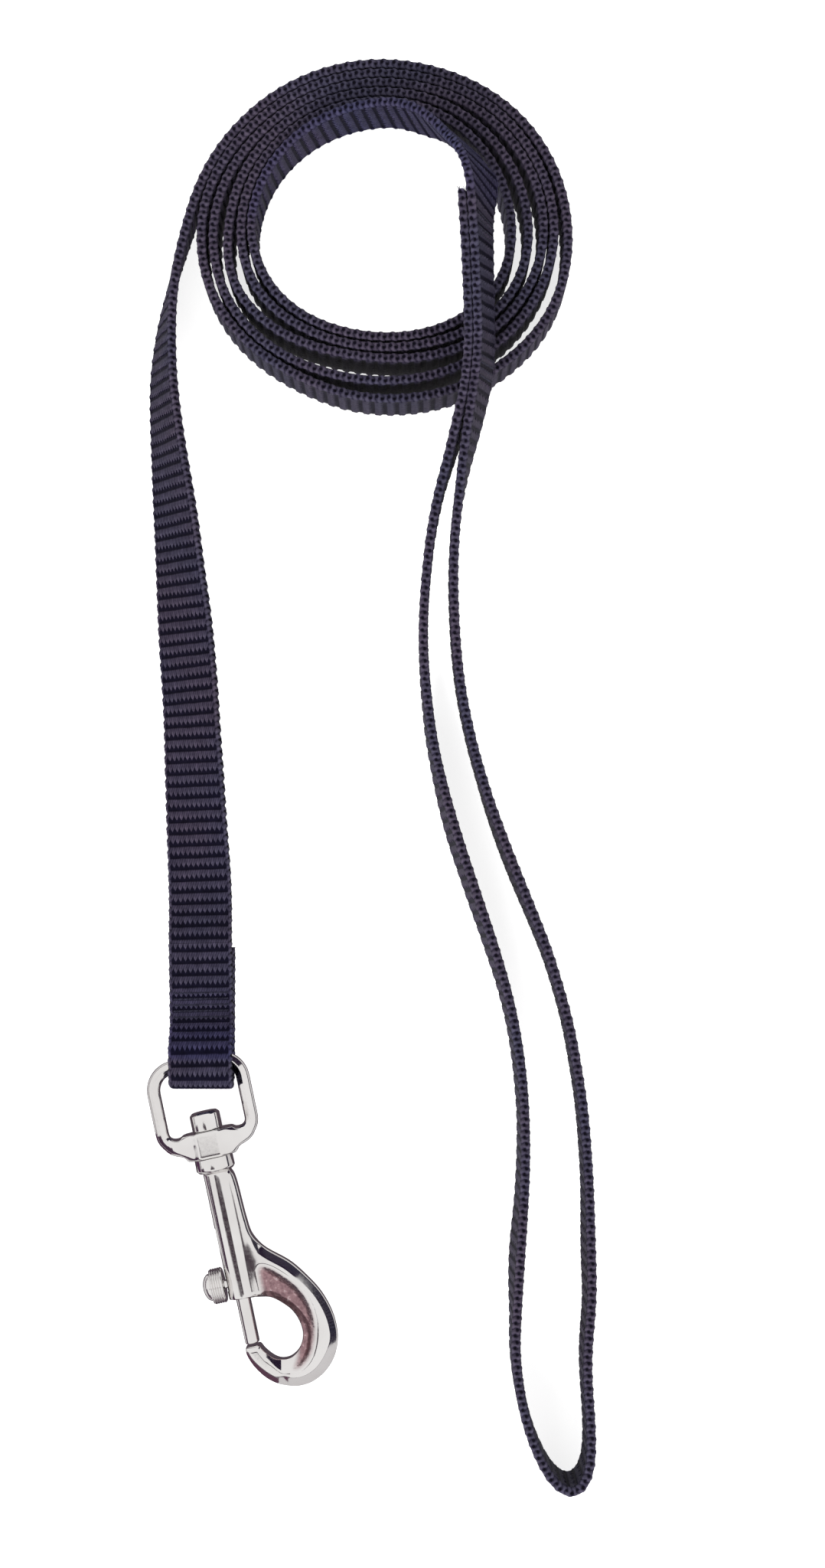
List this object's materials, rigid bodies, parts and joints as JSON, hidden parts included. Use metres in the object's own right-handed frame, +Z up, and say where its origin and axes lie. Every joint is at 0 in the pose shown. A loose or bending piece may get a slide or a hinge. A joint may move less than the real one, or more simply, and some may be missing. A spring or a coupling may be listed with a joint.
{
  "type": "training leash",
  "caption": "Coiled narrow webbing dog lead with a stitched hand loop and a swivel bolt snap whose sprung gate has a thumb knob.",
  "frame": {"origin": "centre of the bounding box on the table the leash lies on", "axes": "+Z up from the table; +Y from the hand loop's end to the coil, along the long way of the laid leash; +X towards the hand loop's side"},
  "size_m": [0.0704, 0.2228, 0.0229],
  "materials": {
    "webbing": "matte",
    "thread": "matte",
    "nickel_plate": "polished",
    "spring_steel": "satin"
  },
  "bodies": {
    "leash": {"strap_lap_end": "webbing", "strap_hand_loop": "webbing", "strap_lap_main": "webbing", "strap_coil": "webbing", "strap_lead": "webbing", "strap_snap_fold": "webbing", "snap_stitching": "thread", "lap_stitching_upper": "thread", "lap_stitching_lower": "thread"},
    "eye": {"swivel_eye": "nickel_plate"},
    "snap": {"swivel_stem": "nickel_plate", "snap_body": "nickel_plate", "bolt_spring": "spring_steel"},
    "bolt": {"bolt": "nickel_plate", "thumb_knob": "nickel_plate"}
  },
  "joints": [
    {"name": "eye_hinge", "type": "hinge", "parent": "leash", "child": "eye", "pos_m": [-0.02722, -0.04634, 0.0031], "axis": [-0.977, -0.213, 0], "range_deg": [-90, 120], "deforming": ["strap_snap_fold"]},
    {"name": "snap_swivel", "type": "hinge", "parent": "eye", "child": "snap", "pos_m": [-0.02445, -0.05904, 0.0031], "axis": [-0.213, 0.977, 0], "continuous": true},
    {"name": "bolt_slide", "type": "slide", "parent": "snap", "child": "bolt", "axis": [-0.213, 0.977, 0], "range_m": [0, 0.0075], "stiffness_N_per_m": 250, "springref_m": -0.004, "deforming": ["bolt_spring"]}
  ]
}
